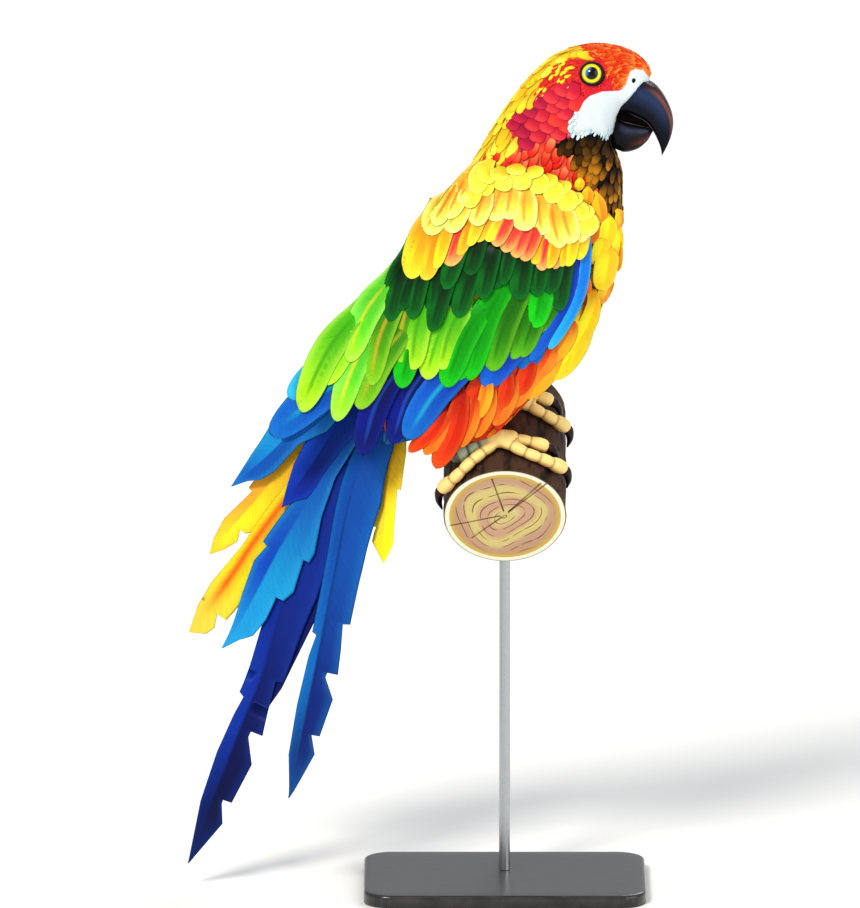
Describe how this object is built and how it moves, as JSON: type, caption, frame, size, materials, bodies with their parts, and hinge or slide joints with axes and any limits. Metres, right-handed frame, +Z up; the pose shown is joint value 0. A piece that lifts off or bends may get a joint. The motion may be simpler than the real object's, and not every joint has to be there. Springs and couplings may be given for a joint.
{
  "type": "perched macaw display model",
  "caption": "Life-size large parrot with folded wings and long hanging tail, gripping a short cut log that two rods hold over a flat display base.",
  "frame": {"origin": "centre of the display base's underside", "axes": "+Z up, +X the way the bird faces, +Y to the bird's left, along the upward-sloping perch log"},
  "size_m": [0.4469, 0.2163, 0.7953],
  "materials": {
    "crown_feathers": "soft feathers, red-orange with a white bare face",
    "neck_feathers": "soft feathers, gold and red",
    "body_feathers": "soft feathers, yellow to orange",
    "wing_feathers": "satin feathers, yellow, green and blue rows",
    "tail_feathers": "satin feathers, blue with yellow sides",
    "leg_feathers": "soft feathers, orange-red",
    "bill_horn": "polished black horn",
    "tongue_skin": "dark dry skin",
    "eye_surface": "wet gloss, yellow iris and black pupil",
    "foot_skin": "pale ringed skin",
    "claw_horn": "dark polished horn",
    "log_wood": "dark bark with a pale cut face",
    "stand_plate": "satin dark lacquer",
    "stand_rod": "fine brushed"
  },
  "bodies": {
    "root": {"head": "crown_feathers", "neck": "neck_feathers", "torso": "body_feathers", "bill_upper": "bill_horn", "bill_lower": "bill_horn", "tongue": "tongue_skin", "eye_right": "eye_surface", "eye_left": "eye_surface", "wing_right": "wing_feathers", "wing_left": "wing_feathers", "tail": "tail_feathers", "thigh_right": "leg_feathers", "thigh_left": "leg_feathers", "shank_right": "foot_skin", "shank_left": "foot_skin", "foot_right": "foot_skin", "foot_left": "foot_skin", "claw_right_outer": "claw_horn", "claw_right_inner": "claw_horn", "claw_right_back_outer": "claw_horn", "claw_right_back_inner": "claw_horn", "claw_left_outer": "claw_horn", "claw_left_inner": "claw_horn", "claw_left_back_outer": "claw_horn", "claw_left_back_inner": "claw_horn", "perch_log": "log_wood", "stand_base": "stand_plate", "stand_rod_front": "stand_rod", "stand_rod_back": "stand_rod"}
  },
  "joints": []
}
